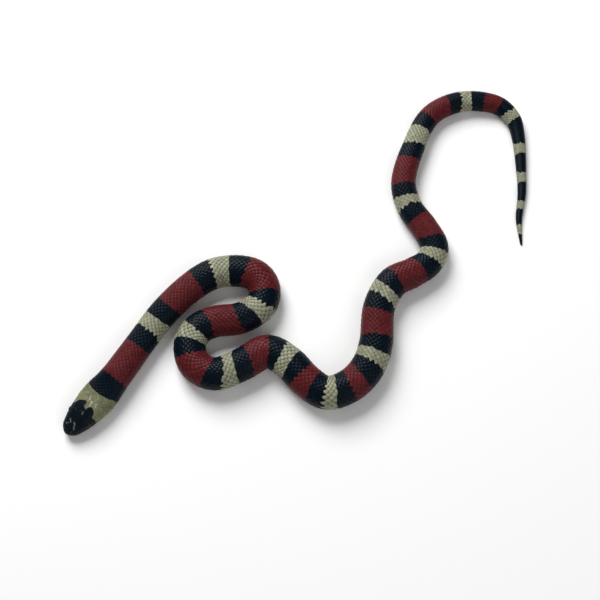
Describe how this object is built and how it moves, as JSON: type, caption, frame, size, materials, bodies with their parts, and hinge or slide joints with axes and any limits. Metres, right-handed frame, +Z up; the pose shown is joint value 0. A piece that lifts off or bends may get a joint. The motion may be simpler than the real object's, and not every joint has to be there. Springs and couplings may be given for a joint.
{
  "type": "milk snake",
  "caption": "Life-size still model of a slender, ringed milk snake lying on its belly in a loose row of bends, head flat on the floor and mouth closed.",
  "frame": {"origin": "on the floor, under the middle of the animal's bounding box", "axes": "+X to the right of the picture, towards the tail's side; +Y up the picture, away from the viewer; +Z up from the floor"},
  "size_m": [0.2496, 0.1985, 0.0151],
  "materials": {
    "skin_head": "smooth black head shields with a pale collar, satin gloss",
    "skin_body": "smooth, glossy scales in red, black and cream rings",
    "skin_tail": "smooth, glossy scales in black and cream rings",
    "eye": "wet black eye under a clear scale"
  },
  "bodies": {
    "root": {"head": "skin_head", "jaw": "skin_head", "eye_left": "eye", "eye_right": "eye", "neck": "skin_body", "body_01": "skin_body", "body_02": "skin_body", "body_03": "skin_body", "body_04": "skin_body", "body_05": "skin_body", "body_06": "skin_body", "body_07": "skin_body", "body_08": "skin_body", "body_09": "skin_body", "body_10": "skin_body", "body_11": "skin_body", "tail_1": "skin_tail", "tail_2": "skin_tail", "tail_3": "skin_tail"}
  },
  "joints": []
}
